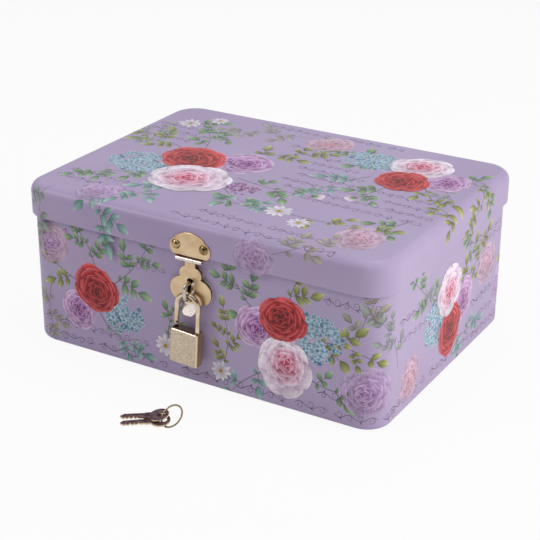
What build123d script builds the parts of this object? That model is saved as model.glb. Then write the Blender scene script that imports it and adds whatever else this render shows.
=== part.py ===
# Printed keepsake tin with a rear-hinged lid, a front hasp and staple, a small padlock and two keys.
# Millimetres, Z up. The origin is the middle of the body's base on the table, the front faces -Y.
import math
import os

from build123d import *

os.makedirs("parts", exist_ok=True)

# Sheet and fits
sheet = 0.35
plate_sheet = 0.6
running = 0.05
press_gap = 0.02
side_gap = 0.15

# Body of the tin
body_length = 200.0
body_depth = 148.2
body_corner = 12.9
bottom_radius = 3.0
base_flange = 9.0
lid_seat_gap = 0.1
curl_width = 1.6
curl_drop = 1.8
curl_radius = 0.7

# Lid
lid_overhang = 2.0
skirt_bottom = 69.0
lid_height = 16.35
lid_edge_radius = 4.9
hem_height = 2.2

lid_length = body_length + 2 * lid_overhang
lid_depth = body_depth + 2 * lid_overhang
lid_corner = body_corner + lid_overhang
lid_top = skirt_bottom + lid_height
rim_reach = lid_edge_radius - sheet - curl_radius - lid_seat_gap
rim_side = lid_edge_radius - lid_overhang - curl_radius
body_top = lid_top - lid_edge_radius + math.sqrt(rim_reach ** 2 - rim_side ** 2) + curl_radius
front_wall = -body_depth / 2
back_wall = body_depth / 2
front_skirt = -lid_depth / 2
back_skirt = lid_depth / 2


def block(length, depth, corner, low, high):
    outline = RectangleRounded(length, depth, corner)
    return Pos(0, 0, low) * extrude(outline, high - low)


def inset(amount, low, high, length=body_length, depth=body_depth, corner=body_corner):
    return block(length - 2 * amount, depth - 2 * amount, max(corner - amount, 0.5), low, high)


def edges_at(shape, height):
    return [e for e in shape.edges() if abs(e.bounding_box().min.Z - height) < 1e-4
            and abs(e.bounding_box().max.Z - height) < 1e-4]


def along_x(radius, low, high, y, z):
    turned = Pos(low, y, z) * Rot(0, 90, 0)
    return turned * extrude(Circle(radius), high - low)


def along_y(radius, low, high, x, z):
    turned = Pos(x, low, z) * Rot(-90, 0, 0)
    return turned * extrude(Circle(radius), high - low)


def along_z(radius, low, high, x, y):
    return Pos(x, y, low) * extrude(Circle(radius), high - low)


def box(x, y, z):
    size = [high - low for low, high in (x, y, z)]
    middle = [(high + low) / 2 for low, high in (x, y, z)]
    return Pos(*middle) * Box(*size)


def save(name, shape):
    export_step(shape, f"parts/{name}.step")


# Hasp, staple and hinge sizes that the sheet pieces need for their holes
rivet_shank = 1.2
hole_radius = rivet_shank + press_gap
barrel_radius = 1.1
pin_radius = 0.5
barrel_z = skirt_bottom - 2.1
hasp_rivet_x = 7.7
hasp_rivet_z = skirt_bottom + 4.4
loop_radius = 1.0
loop_height = 7.85
loop_top = barrel_z - 11.6
loop_bottom = loop_top - loop_height
loop_reach = 5.0
staple_rivet_x = 8.3
staple_rivet_z = barrel_z - 14.7
hinge_from_end = 38.0
hinge_x = body_length / 2 - hinge_from_end
hinge_width = 26.0
hinge_rivet_spread = 8.5
hinge_lid_rivet_z = skirt_bottom + 5.2
hinge_body_rivet_z = barrel_z - 9.4


def across(points, radius, low, high):
    """Rods along Y at each x, z."""
    return [along_y(radius, low, high, x, z) for x, z in points]


hasp_rivet_points = [(-hasp_rivet_x, hasp_rivet_z), (hasp_rivet_x, hasp_rivet_z)]
staple_rivet_points = [(-staple_rivet_x, staple_rivet_z), (staple_rivet_x, staple_rivet_z)]
loop_points = [(0, loop_top), (0, loop_bottom)]
hinge_lid_points = [(s * hinge_x + d * hinge_rivet_spread, hinge_lid_rivet_z) for s in (-1, 1) for d in (-1, 1)]
hinge_body_points = [(s * hinge_x + d * hinge_rivet_spread, hinge_body_rivet_z) for s in (-1, 1) for d in (-1, 1)]

# Body shell: one wall, a rolled-in rim at the top and a flange turned in under the floor
shell = block(body_length, body_depth, body_corner, 0, body_top)
shell = fillet(edges_at(shell, 0), bottom_radius)
shell = fillet(edges_at(shell, body_top), curl_radius)
hollow = inset(sheet, sheet, body_top - sheet)
hollow = fillet(edges_at(hollow, sheet), bottom_radius - sheet)
hollow = fillet(edges_at(hollow, body_top - sheet), curl_radius - sheet)
shell -= hollow
shell -= inset(bottom_radius + base_flange, -1, sheet + 1)
shell -= inset(curl_width, body_top - sheet - 1, body_top + 1)
drop = inset(curl_width - sheet, body_top - curl_drop, body_top - sheet / 2)
drop -= inset(curl_width, body_top - curl_drop - 1, body_top + 1)
shell += drop
wall_span = (front_wall - 1, front_wall + sheet + 1)
for cut in across(staple_rivet_points, hole_radius, *wall_span):
    shell -= cut
for cut in across(loop_points, loop_radius + press_gap, *wall_span):
    shell -= cut
for cut in across(hinge_body_points, hole_radius, back_wall - sheet - 1, back_wall + 1):
    shell -= cut
save("body_shell", shell)

# Floor panel, laid on the turned-in flange and spot-welded to it
floor_inset = bottom_radius + 0.1
floor_border = 12.0
floor_raise = 0.8
floor = inset(floor_inset, sheet, 2 * sheet)
raised = inset(floor_inset + floor_border, sheet, 2 * sheet + floor_raise)
raised = fillet(edges_at(raised, 2 * sheet + floor_raise), 0.6)
under = inset(floor_inset + floor_border + sheet, sheet - 1, sheet + floor_raise)
under = fillet(edges_at(under, sheet + floor_raise), 0.3)
floor = floor + raised - under
save("floor_panel", floor)

# Lid shell: drawn top with a rolled edge, and a skirt with a folded hem inside
lid = block(lid_length, lid_depth, lid_corner, skirt_bottom, lid_top)
lid = fillet(edges_at(lid, lid_top), lid_edge_radius)
lid_hollow = inset(sheet, skirt_bottom + hem_height, lid_top - sheet, lid_length, lid_depth, lid_corner)
lid_hollow = fillet(edges_at(lid_hollow, lid_top - sheet), lid_edge_radius - sheet)
lid -= lid_hollow
lid -= inset(2 * sheet, skirt_bottom - 1, skirt_bottom + hem_height + 1, lid_length, lid_depth, lid_corner)
lid = fillet(edges_at(lid, skirt_bottom), 0.25)
for cut in across(hasp_rivet_points, hole_radius, front_skirt - 1, front_skirt + sheet + 1):
    lid -= cut
for cut in across(hinge_lid_points, hole_radius, back_skirt - sheet - 1, back_skirt + 1):
    lid -= cut
save("lid_shell", lid)


def rivet(x, z, face, inward, stack, head_radius=2.5, head_height=1.6, tail_radius=2.0, tail_height=0.7):
    """A rivet along Y. face is the outer face it is set on, inward is +1 or -1 into the tin."""
    out = face
    end = face + inward * stack
    shank = along_y(rivet_shank, min(out, end), max(out, end), x, z)
    ball = (head_radius ** 2 + head_height ** 2) / (2 * head_height)
    dome = Pos(x, out + inward * (ball - head_height), z) * Sphere(ball)
    keep = along_y(head_radius + 1, min(out, out - inward * 5), max(out, out - inward * 5), x, z)
    dome = dome & keep
    tail = along_y(tail_radius, min(end, end + inward * tail_height), max(end, end + inward * tail_height), x, z)
    rims = [e for e in tail.edges() if abs(e.center().Y - (end + inward * tail_height)) < 1e-3]
    tail = chamfer(rims, 0.3) if rims else tail
    return shank + dome + tail


# Hasp plate on the front of the lid's skirt
plate_lobe = 4.8
plate_lobe_x = 6.5
plate_lobe_z = hasp_rivet_z - 1.1
plate_dome = 13.2
plate_dome_half = 8.0
plate_top = plate_lobe_z + 8.1
plate_bottom = plate_lobe_z - plate_lobe
knuckle_half = 2.8
knuckle_end = 7.2
hasp_barrel_y = front_skirt - barrel_radius
plate_face = front_skirt - plate_sheet


def upright(sketch, face, thickness):
    """A sketch drawn in X and Z, made a sheet that stands on face and grows towards -Y."""
    return Pos(0, face, 0) * Rot(90, 0, 0) * extrude(sketch, thickness)


outline = Pos(-plate_lobe_x, plate_lobe_z) * Circle(plate_lobe)
outline += Pos(plate_lobe_x, plate_lobe_z) * Circle(plate_lobe)
outline += Pos(0, (plate_bottom + plate_lobe_z + plate_lobe) / 2) * Rectangle(
    2 * plate_lobe_x, plate_lobe_z + plate_lobe - plate_bottom)
plate_dome_reach = 20.0
dome_part = Pos(0, plate_top - plate_dome) * Circle(plate_dome)
dome_part &= Pos(0, plate_lobe_z + plate_dome_reach / 2) * Rectangle(2 * plate_dome_half, plate_dome_reach)
outline += dome_part
hasp_plate = upright(outline, front_skirt, plate_sheet)
front_rim = [e for e in hasp_plate.edges() if abs(e.bounding_box().min.Y - plate_face) < 1e-4
             and abs(e.bounding_box().max.Y - plate_face) < 1e-4]
hasp_plate = chamfer(front_rim, 0.12)
for side in (-1, 1):
    low, high = sorted((side * (knuckle_half + side_gap), side * knuckle_end))
    hasp_plate += along_x(barrel_radius, low, high, hasp_barrel_y, barrel_z)
    hasp_plate += box((low, high), (plate_face, front_skirt), (barrel_z, plate_bottom + 1))
hasp_plate -= along_x(barrel_radius + side_gap, -knuckle_half - side_gap, knuckle_half + side_gap,
                      hasp_barrel_y, barrel_z)
hasp_plate -= along_x(pin_radius + press_gap, -knuckle_end - 1, knuckle_end + 1, hasp_barrel_y, barrel_z)
for cut in across(hasp_rivet_points, hole_radius, plate_face - 1, front_skirt + 1):
    hasp_plate -= cut
save("hasp_plate", hasp_plate)

hasp_rivets = [rivet(x, z, plate_face, 1, plate_sheet + sheet) for x, z in hasp_rivet_points]
save("hasp_rivets", Compound(children=hasp_rivets))

hasp_pin = along_x(pin_radius, -knuckle_end - 0.1, knuckle_end + 0.1, hasp_barrel_y, barrel_z)
save("hasp_pin", hasp_pin)

# Hasp leaf: neck, stepped shoulders, two lobes, a slot for the staple and a finger lip bent outwards
shoulder_x = 2.4
shoulder_drop = 7.7
shoulder_z = barrel_z - shoulder_drop
shoulder_lobe = 3.8
leaf_lobe_x = 5.2
leaf_lobe_drop = 16.2
leaf_lobe_z = barrel_z - leaf_lobe_drop
leaf_lobe = 6.4
chin_half = 3.6
chin_drop = 23.6
chin_z = barrel_z - chin_drop
lip_drop = 4.7
lip_angle = 33.0
slot_width = 4.0
slot_low = loop_bottom - 2.25
slot_high = loop_top + 2.1
leaf_face = front_skirt - plate_sheet

leaf_outline = Pos(0, (barrel_z + shoulder_z) / 2) * Rectangle(2 * knuckle_half, barrel_z - shoulder_z)
for side in (-1, 1):
    leaf_outline += Pos(side * shoulder_x, shoulder_z) * Circle(shoulder_lobe)
    leaf_outline += Pos(side * leaf_lobe_x, leaf_lobe_z) * Circle(leaf_lobe)
leaf_outline += Pos(0, leaf_lobe_z) * Rectangle(2 * leaf_lobe_x, 2 * leaf_lobe)
leaf_outline += Pos(0, (chin_z + leaf_lobe_z) / 2) * Rectangle(2 * chin_half, leaf_lobe_z - chin_z)
hasp_leaf = upright(leaf_outline, front_skirt, plate_sheet)
hasp_leaf = chamfer([e for e in hasp_leaf.edges() if abs(e.bounding_box().min.Y - leaf_face) < 1e-4
                     and abs(e.bounding_box().max.Y - leaf_face) < 1e-4
                     and e.bounding_box().min.Z > chin_z + 0.01
                     and e.bounding_box().max.Z < barrel_z - 0.01], 0.12)
lip_length = lip_drop / math.cos(math.radians(lip_angle))
lip_shape = Pos(0, -lip_length / 2) * Rectangle(2 * chin_half, lip_length)
lip_shape = fillet([v for v in lip_shape.vertices() if v.Y < -lip_length + 0.01], chin_half * 0.72)
lip = Rot(90, 0, 0) * extrude(lip_shape, plate_sheet)
lip = Pos(0, front_skirt, chin_z) * Rot(-lip_angle, 0, 0) * lip
bend = along_x(plate_sheet, -chin_half, chin_half, leaf_face, chin_z)
bend &= box((-chin_half, chin_half), (leaf_face, front_skirt), (chin_z - plate_sheet, chin_z + 0.01))
hasp_leaf += lip + bend
hasp_leaf += along_x(barrel_radius, -knuckle_half, knuckle_half, hasp_barrel_y, barrel_z)
hasp_leaf -= along_x(pin_radius + running, -knuckle_half - 1, knuckle_half + 1, hasp_barrel_y, barrel_z)
slot = Pos(0, (slot_low + slot_high) / 2) * RectangleRounded(slot_width, slot_high - slot_low, slot_width / 2 - 0.01)
hasp_leaf -= upright(slot, front_skirt + 1, plate_sheet + 2)
save("hasp_leaf", hasp_leaf)

# Staple: a base plate with the leaf's outline, riveted to the body, and a wire loop clinched inside
staple_inset = 0.2
staple_lobe = leaf_lobe - staple_inset
staple_face = front_wall - plate_sheet
staple_outline = Pos(0, leaf_lobe_z) * Rectangle(2 * leaf_lobe_x, 2 * staple_lobe)
for side in (-1, 1):
    staple_outline += Pos(side * shoulder_x, shoulder_z) * Circle(shoulder_lobe - staple_inset)
    staple_outline += Pos(side * leaf_lobe_x, leaf_lobe_z) * Circle(staple_lobe)
staple_plate = upright(staple_outline, front_wall, plate_sheet)
staple_plate = chamfer([e for e in staple_plate.edges() if abs(e.bounding_box().min.Y - staple_face) < 1e-4
                        and abs(e.bounding_box().max.Y - staple_face) < 1e-4], 0.12)
for cut in across(staple_rivet_points, hole_radius, staple_face - 1, front_wall + 1):
    staple_plate -= cut
for cut in across(loop_points, loop_radius + press_gap, staple_face - 1, front_wall + 1):
    staple_plate -= cut
save("staple_plate", staple_plate)

staple_rivets = [rivet(x, z, staple_face, 1, plate_sheet + sheet, 2.0, 0.8) for x, z in staple_rivet_points]
save("staple_rivets", Compound(children=staple_rivets))

loop_out = front_skirt - plate_sheet - loop_reach
loop_bend = 2.2
loop_inside = front_wall + sheet
straight_top = Line((0, loop_inside, loop_top), (0, loop_out + loop_bend, loop_top))
corner_top = ThreePointArc((0, loop_out + loop_bend, loop_top),
                           (0, loop_out + loop_bend * (1 - math.sqrt(0.5)), loop_top - loop_bend * (1 - math.sqrt(0.5))),
                           (0, loop_out, loop_top - loop_bend))
bar = Line((0, loop_out, loop_top - loop_bend), (0, loop_out, loop_bottom + loop_bend))
corner_low = ThreePointArc((0, loop_out, loop_bottom + loop_bend),
                           (0, loop_out + loop_bend * (1 - math.sqrt(0.5)), loop_bottom + loop_bend * (1 - math.sqrt(0.5))),
                           (0, loop_out + loop_bend, loop_bottom))
straight_low = Line((0, loop_out + loop_bend, loop_bottom), (0, loop_inside, loop_bottom))
loop_path = Wire([straight_top, corner_top, bar, corner_low, straight_low])
staple_loop = sweep(Plane(origin=loop_path @ 0, z_dir=loop_path % 0) * Circle(loop_radius), path=loop_path)
for x, z in loop_points:
    head = along_y(loop_radius + 0.7, loop_inside, loop_inside + 0.7, x, z)
    staple_loop += chamfer([e for e in head.edges() if abs(e.center().Y - loop_inside - 0.7) < 1e-3], 0.25)
save("staple_loop", staple_loop)

# Two barrel hinges at the back, each a lid leaf, a body leaf, a pin and its rivets
hinge_barrel_y = back_skirt + barrel_radius
hinge_leaf_top = hinge_lid_rivet_z + 4.6
hinge_leaf_low = hinge_body_rivet_z - 4.3
hinge_split = hinge_width / 4
hinge_corner = 2.2


def sheet_at_back(sketch, face):
    """A sketch drawn in X and Z, made a sheet on face that grows towards +Y."""
    return Pos(0, face + plate_sheet, 0) * Rot(90, 0, 0) * extrude(sketch, plate_sheet)


def lid_leaf(x):
    wide = Pos(x, (barrel_z + hinge_leaf_top) / 2) * Rectangle(hinge_width, hinge_leaf_top - barrel_z)
    wide = fillet([v for v in wide.vertices() if v.Y > hinge_leaf_top - 0.1], hinge_corner)
    leaf = sheet_at_back(wide, back_skirt)
    for side in (-1, 1):
        low, high = sorted((x + side * (hinge_split + side_gap), x + side * hinge_width / 2))
        leaf += along_x(barrel_radius, low, high, hinge_barrel_y, barrel_z)
    leaf -= along_x(barrel_radius + side_gap, x - hinge_split - side_gap, x + hinge_split + side_gap,
                    hinge_barrel_y, barrel_z)
    leaf -= box((x - hinge_split - side_gap, x + hinge_split + side_gap), (back_skirt - 1, back_skirt + 3),
                (barrel_z - 2, barrel_z + barrel_radius + side_gap))
    leaf -= along_x(pin_radius + press_gap, x - hinge_width, x + hinge_width, hinge_barrel_y, barrel_z)
    for cut in across(hinge_lid_points, hole_radius, back_skirt - 1, back_skirt + plate_sheet + 1):
        leaf -= cut
    return leaf


joggle_top = barrel_z - 2.2
joggle_low = joggle_top - lid_overhang - 0.6


def body_leaf(x):
    top = joggle_low
    wide = Pos(x, (hinge_leaf_low + top) / 2) * Rectangle(hinge_width, top - hinge_leaf_low)
    wide = fillet([v for v in wide.vertices() if v.Y < hinge_leaf_low + 0.1], hinge_corner)
    leaf = sheet_at_back(wide, back_wall)
    neck = Polygon((back_wall, joggle_low), (back_wall + plate_sheet, joggle_low),
                   (back_skirt + plate_sheet, joggle_top), (back_skirt + plate_sheet, barrel_z),
                   (back_skirt, barrel_z), (back_skirt, joggle_top), align=None)
    half = hinge_split
    strip = Pos(x - half, 0, 0) * extrude(Plane.YZ * neck, 2 * half, dir=(1, 0, 0))
    leaf += strip
    leaf += along_x(barrel_radius, x - half, x + half, hinge_barrel_y, barrel_z)
    leaf -= along_x(pin_radius + running, x - half - 1, x + half + 1, hinge_barrel_y, barrel_z)
    for cut in across(hinge_body_points, hole_radius, back_wall - 1, back_wall + plate_sheet + 1):
        leaf -= cut
    return leaf


for side, name in ((-1, "left"), (1, "right")):
    x = side * hinge_x
    save(f"hinge_lid_leaf_{name}", lid_leaf(x))
    save(f"hinge_body_leaf_{name}", body_leaf(x))
    save(f"hinge_pin_{name}", along_x(pin_radius, x - hinge_width / 2 - 0.1, x + hinge_width / 2 + 0.1,
                                      hinge_barrel_y, barrel_z))
hinge_rivets = [rivet(x, z, back_skirt + plate_sheet, -1, plate_sheet + sheet, 2.1, 1.0) for x, z in hinge_lid_points]
save("hinge_lid_rivets", Compound(children=hinge_rivets))
hinge_rivets = [rivet(x, z, back_wall + plate_sheet, -1, plate_sheet + sheet, 2.1, 1.0) for x, z in hinge_body_points]
save("hinge_body_rivets", Compound(children=hinge_rivets))

# Padlock, built upright and then tilted about the middle of its shackle's arch, as it hangs in the photo
arch_inner = 4.75
shackle_wire = 1.25
leg_half = arch_inner + shackle_wire
lock_y = loop_out + loop_radius + shackle_wire + 0.25
arch_z = loop_bottom + loop_radius + running - arch_inner
hang_tilt = 3.5
case_height = 17.8
arch_rise = 12.55
case_top = arch_z - arch_rise
case_low = case_top - case_height
case_width = 15.6
case_thick = 6.0
case_corner = 1.2
case_edge = 0.35
lift_travel = 4.5
toe_gap = 1.8
bore_radius = shackle_wire + running
neck_radius = 0.75
heel_pin_radius = 0.4
collar_radius = 1.2
collar_height = 0.9
neck_length = lift_travel + 2 * heel_pin_radius + 2 * running
neck_top = case_top - 0.6
collar_top = neck_top - neck_length
foot = collar_top - collar_height
bore_base = 3.6
bore_floor = case_low + bore_base
cap_thick = 0.5
heel_pin_z = collar_top + running + heel_pin_radius
heel_pin_x = leg_half - neck_radius - running - heel_pin_radius
toe_foot = case_top + toe_gap
toe_bore_floor = case_top - 4.2
bolt_throw = 0.9
bolt_thick = 0.9
notch_low = 0.85
bolt_low = case_top + toe_gap - lift_travel + notch_low + running
plug_radius = 2.2
plug_low = case_low + 0.2
plug_top = bolt_low - 1.0
groove_radius = 1.8
groove_height = 0.9
groove_low = plug_top - 2.0
plug_pin_radius = 0.35
stud_radius = 0.4
stud_play = 0.22
pivot = (0, lock_y, arch_z)


def hung(shape):
    return Pos(*pivot) * Rot(0, hang_tilt, 0) * Pos(-pivot[0], -pivot[1], -pivot[2]) * shape


arc_start = (-leg_half, lock_y, arch_z)
arc_end = (leg_half, lock_y, arch_z)
toe_line = Line((-leg_half, lock_y, toe_foot), arc_start)
arch_line = ThreePointArc(arc_start, (0, lock_y, arch_z + leg_half), arc_end)
heel_line = Line(arc_end, (leg_half, lock_y, neck_top))
shackle_path = Wire([toe_line, arch_line, heel_line])
shackle = sweep(Plane(origin=shackle_path @ 0, z_dir=shackle_path % 0) * Circle(shackle_wire), path=shackle_path)
shackle = chamfer([e for e in shackle.edges() if abs(e.bounding_box().max.Z - toe_foot) < 1e-3], 0.3)
shackle += along_z(neck_radius, collar_top - 0.1, neck_top + 0.1, leg_half, lock_y)
shackle += along_z(collar_radius, foot, collar_top, leg_half, lock_y)
notch_x = -leg_half + shackle_wire
shackle -= box((notch_x - bolt_throw - 0.1, notch_x + 1), (lock_y - 3, lock_y + 3),
               (toe_foot + notch_low, toe_foot + notch_low + bolt_thick + 2 * running))
save("shackle", hung(shackle))

case = block(case_width, case_thick, case_corner, case_low, case_top)
case = chamfer(edges_at(case, case_top), case_edge)
case = chamfer(edges_at(case, case_low), case_edge)
case = Pos(0, lock_y, 0) * case
case -= along_z(bore_radius, bore_floor, case_top + 1, leg_half, lock_y)
case -= along_z(bore_radius, toe_bore_floor, case_top + 1, -leg_half, lock_y)
case -= along_z(plug_radius + running, case_low - 1, plug_top + running, 0, lock_y)
channel_half = 1.75
channel_high = bolt_low + bolt_thick + running
case -= box((-leg_half + 0.5, 2.2), (lock_y - channel_half, lock_y + channel_half),
            (bolt_low - running, channel_high))
stud_throw = bolt_throw
case -= along_z(stud_throw + stud_radius + 0.1, plug_top, channel_high, 0, lock_y)
heel_pin_span = (lock_y - case_thick / 2 + 0.8, lock_y + case_thick / 2 - 0.05)
case -= along_y(heel_pin_radius + press_gap, heel_pin_span[0] - 0.1, lock_y + case_thick, heel_pin_x, heel_pin_z)
plug_pin_x = groove_radius + running + plug_pin_radius
plug_pin_z = groove_low + groove_height / 2
plug_pin_span = heel_pin_span
case -= along_y(plug_pin_radius + press_gap, plug_pin_span[0] - 0.1, lock_y + case_thick, plug_pin_x, plug_pin_z)
save("padlock_case", hung(case))
save("heel_pin", hung(along_y(heel_pin_radius, *heel_pin_span, heel_pin_x, heel_pin_z)))
save("plug_pin", hung(along_y(plug_pin_radius, *plug_pin_span, plug_pin_x, plug_pin_z)))

# Spring cap under the heel, and the spring that lifts the shackle
save("spring_cap", hung(along_z(collar_radius, foot - cap_thick, foot - 0.01, leg_half, lock_y)))
spring_wire = 0.16
spring_coil = bore_radius - spring_wire - 0.1
spring_low = bore_floor + spring_wire + 0.02
spring_high = foot - cap_thick - spring_wire - 0.02
spring_turns = 7
helix = Helix((spring_high - spring_low) / spring_turns, spring_high - spring_low, spring_coil)
coil = sweep(Plane(origin=helix @ 0, z_dir=helix % 0) * Circle(spring_wire), path=helix, is_frenet=True)
save("shackle_spring", hung(Pos(leg_half, lock_y, spring_low) * coil))

# Plug with keyway, wafers and a stud that drives the latch bolt
keyway_half = 1.62
keyway_thick = 0.9
keyway_end = 4.0
keyway_top = plug_top - keyway_end
wafer_half = 1.75
wafer_thick = 0.5
wafer_first = plug_low + 2.4
wafer_pitch = 2.0
wafer_count = 3
plug = along_z(plug_radius, plug_low, plug_top, 0, lock_y)
plug -= along_z(plug_radius + 1, groove_low, groove_low + groove_height, 0, lock_y) - along_z(
    groove_radius, groove_low - 1, groove_low + groove_height + 1, 0, lock_y)
plug -= box((-keyway_half, keyway_half), (lock_y - keyway_thick / 2, lock_y + keyway_thick / 2),
            (plug_low - 1, keyway_top))
wafers = []
for number in range(wafer_count):
    low = wafer_first + number * wafer_pitch
    plug -= box((-wafer_half, wafer_half), (lock_y - 3, lock_y + 3), (low - running, low + wafer_thick + running))
    wafer = along_z(plug_radius - running, low, low + wafer_thick, 0, lock_y)
    wafer &= box((-wafer_half + running, wafer_half - running), (lock_y - 3, lock_y + 3), (low, low + wafer_thick))
    wafer -= box((-keyway_half + 0.25, keyway_half - 0.25), (lock_y - 0.55 - 0.1 * number, lock_y + 0.75),
                 (low - 1, low + 1))
    wafers.append(wafer)
stud = along_z(stud_radius, plug_top - 0.2, bolt_low + bolt_thick - 0.05, 0, lock_y + stud_throw)
plug += stud
save("lock_plug", hung(plug))
save("lock_wafers", Compound(children=[hung(w) for w in wafers]))

bolt_tip = notch_x + running
bolt = box((bolt_tip, -1.9), (lock_y - 0.8, lock_y + 0.8), (bolt_low, bolt_low + bolt_thick))
bolt += box((-2.2, 1.2), (lock_y - channel_half + running, lock_y + channel_half - running),
            (bolt_low, bolt_low + bolt_thick))
bolt -= box((-stud_radius - stud_play - 0.1, stud_radius + stud_play), (lock_y - stud_radius - 0.15, lock_y + 3),
            (bolt_low - 1, bolt_low + 2))
save("latch_bolt", hung(bolt))

# Keys: flat blanks with a wide bow, a collar step and a cut edge
key_thick = 0.7
key_length = 23.4
key_hole = 2.15
key_hole_margin = 1.4
bow_length = 9.4
bow_width = 11.0
collar_width = 4.8
collar_length = 3.4
blade_width = 3.9
blade_groove_depth = 0.18
cut_first = 2.6
cut_pitch = 2.0
key_hole_at = key_length - key_hole_margin - key_hole
blade_end = key_length - bow_length - 0.6


def key_blank(depths):
    """A key lying flat along +X, its underside at Z 0 and the middle of its hole at the origin."""
    half = blade_width / 2
    shape = Pos(key_length - bow_length / 2, 0) * Ellipse(bow_length / 2, bow_width / 2)
    shape += Pos(blade_end, 0) * Rectangle(collar_length, collar_width)
    blade = Polygon((0, 0.5), (0, -0.3), (1.8, -half), (blade_end, -half), (blade_end, half), (1.5, half),
                    align=None)
    for number, deep in enumerate(depths):
        notch = Polygon((0.9, -0.5), (0.25, deep), (-0.25, deep), (-0.9, -0.5), align=None)
        blade -= Pos(cut_first + number * cut_pitch, -half) * notch
    shape += blade
    shape -= Pos(key_hole_at, 0) * Circle(key_hole)
    key = extrude(shape, key_thick, dir=(0, 0, 1))
    key -= box((1.2, blade_end - 0.2), (0.35, 0.95), (key_thick - blade_groove_depth, key_thick + 1))
    return Pos(-key_hole_at, 0, 0) * key


# Each key rests on its tip, with its bow held up by the ring that runs through its hole
lower_place = (8.3, front_wall - 39.85)
lower_rise = 1.2
lower_turn = 34.4
upper_place = (6.4, front_wall - 38.21)
upper_rise = 2.6
upper_turn = 22.6


def laid(place, rise, turn):
    """Where a key lies: its hole at that place and height, its tip down on the table."""
    lean = math.degrees(math.asin(rise / key_hole_at))
    return Pos(place[0], place[1], rise) * Rot(0, 0, turn) * Rot(0, -lean, 0)


save("key_lower", laid(lower_place, lower_rise, lower_turn) * key_blank((0.8, 1.1, 0.6, 0.9)))
save("key_upper", laid(upper_place, upper_rise, upper_turn) * key_blank((0.7, 0.9, 1.1, 0.6)))

# Key ring, an open wire loop that leans on the table and runs through both bows
ring_radius = 5.7
ring_wire = 0.43
ring_gap = 4.0
ring_gap_at = 268.0
ring_rest = 0.05
ring_tilt = math.radians(41.3)
ring_way = math.radians(69.0)
ring_spot = (12.38, front_wall - 38.47)
ring_up = Vector(math.cos(ring_way) * math.cos(ring_tilt), math.sin(ring_way) * math.cos(ring_tilt),
                 math.sin(ring_tilt))
ring_level = Vector(math.sin(ring_way), -math.cos(ring_way), 0)
ring_high = ring_radius * math.sin(ring_tilt) + ring_wire + ring_rest
ring_plane = Plane(origin=(ring_spot[0], ring_spot[1], ring_high), x_dir=ring_level, z_dir=ring_level.cross(ring_up))
ring_arc = ring_plane * CenterArc((0, 0, 0), ring_radius, ring_gap_at, 360 - ring_gap)
key_ring = sweep(Plane(origin=ring_arc @ 0, z_dir=ring_arc % 0) * Circle(ring_wire), path=ring_arc)
save("key_ring", key_ring)
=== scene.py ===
# Looks of a lilac printed keepsake tin with a small hasp, a popped padlock and two keys on a wire ring.
import math
import random

import bpy
from mathutils import Matrix, Vector


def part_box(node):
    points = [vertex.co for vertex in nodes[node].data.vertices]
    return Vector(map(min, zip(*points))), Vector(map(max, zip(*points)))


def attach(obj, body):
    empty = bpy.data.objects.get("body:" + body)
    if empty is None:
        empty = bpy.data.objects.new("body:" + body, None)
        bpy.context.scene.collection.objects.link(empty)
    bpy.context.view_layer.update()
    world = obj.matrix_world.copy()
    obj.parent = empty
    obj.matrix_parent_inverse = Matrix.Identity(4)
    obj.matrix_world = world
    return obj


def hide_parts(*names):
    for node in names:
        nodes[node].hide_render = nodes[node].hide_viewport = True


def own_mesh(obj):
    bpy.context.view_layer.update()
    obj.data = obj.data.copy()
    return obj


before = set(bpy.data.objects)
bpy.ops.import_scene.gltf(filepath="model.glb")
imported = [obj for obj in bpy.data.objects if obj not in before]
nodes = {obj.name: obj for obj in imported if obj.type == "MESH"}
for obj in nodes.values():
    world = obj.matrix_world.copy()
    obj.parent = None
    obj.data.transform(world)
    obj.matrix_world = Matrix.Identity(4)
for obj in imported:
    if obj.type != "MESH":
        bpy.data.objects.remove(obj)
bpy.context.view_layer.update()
bpy.ops.object.select_all(action="DESELECT")
mm = 0.001
print("frame loaded,", len(nodes), "nodes")

# Camera, turned to the right of the tin's front and raised
cameraView = {
    "turn": 30.41,        # degrees from straight in front, towards the right
    "height": 24.22,      # degrees above the table
    "roll": 0.29,
    "distance": 0.7568,
    "aimRight": -0.00105,  # the camera's middle, beside and above the tin's foot
    "aimUp": 0.0293,
    "lens": 95.2,
}


def placeCamera(view):
    turn, height, roll = (math.radians(view[k]) for k in ("turn", "height", "roll"))
    back = Vector((math.sin(turn) * math.cos(height), -math.cos(turn) * math.cos(height), math.sin(height)))
    levelRight = Vector((math.cos(turn), math.sin(turn), 0))
    levelUp = back.cross(levelRight)
    right = levelRight * math.cos(roll) + levelUp * math.sin(roll)
    up = levelUp * math.cos(roll) - levelRight * math.sin(roll)
    spot = back * view["distance"] + right * view["aimRight"] + up * view["aimUp"]
    lensData = bpy.data.cameras.new("view")
    lensData.lens = view["lens"]
    lensData.sensor_width = 36
    cameraObject = bpy.data.objects.new("view", lensData)
    bpy.context.collection.objects.link(cameraObject)
    cameraObject.matrix_world = Matrix((
        (right.x, up.x, back.x, spot.x), (right.y, up.y, back.y, spot.y), (right.z, up.z, back.z, spot.z),
        (0, 0, 0, 1)))
    bpy.context.scene.camera = cameraObject


placeCamera(cameraView)
print("camera placed")

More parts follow.
